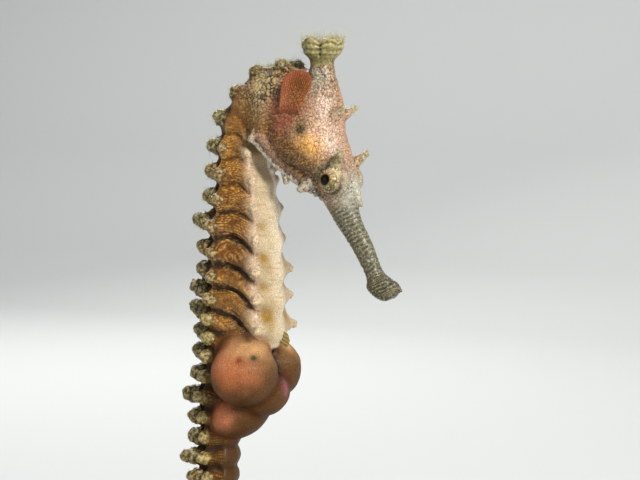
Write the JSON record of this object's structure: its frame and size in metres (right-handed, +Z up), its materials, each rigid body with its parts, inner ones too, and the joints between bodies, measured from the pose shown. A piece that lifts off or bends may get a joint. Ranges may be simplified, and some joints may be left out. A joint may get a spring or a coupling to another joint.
{
  "type": "seahorse model",
  "caption": "Life-size still model of an adult male seahorse, head bowed, tail rolled forwards, with a swollen brood pouch, on a flat display base with a short rod.",
  "frame": {"origin": "centre of the display base's underside, which is the middle of the bounding box's floor", "axes": "+Z up along the animal's trunk, +X the way the belly and snout face, +Y the animal's left"},
  "size_m": [0.062, 0.044, 0.1147],
  "materials": {
    "skin": "rough ochre skin over bony rings, cream belly, grey snout",
    "pouch_skin": "smooth taut salmon-pink skin",
    "fin_membrane": "thin rayed reddish-brown membrane",
    "eye": "wet glossy eyeball with a gold iris",
    "stand_board": "satin black acrylic",
    "stand_steel": "brushed"
  },
  "bodies": {
    "root": {"neck": "skin", "trunk_upper": "skin", "trunk_lower": "skin", "tail_root": "skin", "tail_upper": "skin", "tail_bend": "skin", "tail_curl": "skin", "tail_tip": "skin", "head": "skin", "snout": "skin", "jaw": "skin", "coronet": "skin", "brood_pouch": "pouch_skin", "pectoral_fin_left": "fin_membrane", "pectoral_fin_right": "fin_membrane", "dorsal_fin": "fin_membrane", "anal_fin": "fin_membrane", "eye_left": "eye", "eye_right": "eye", "stand_base": "stand_board", "stand_rod": "stand_steel", "stand_cup": "stand_steel"}
  },
  "joints": []
}
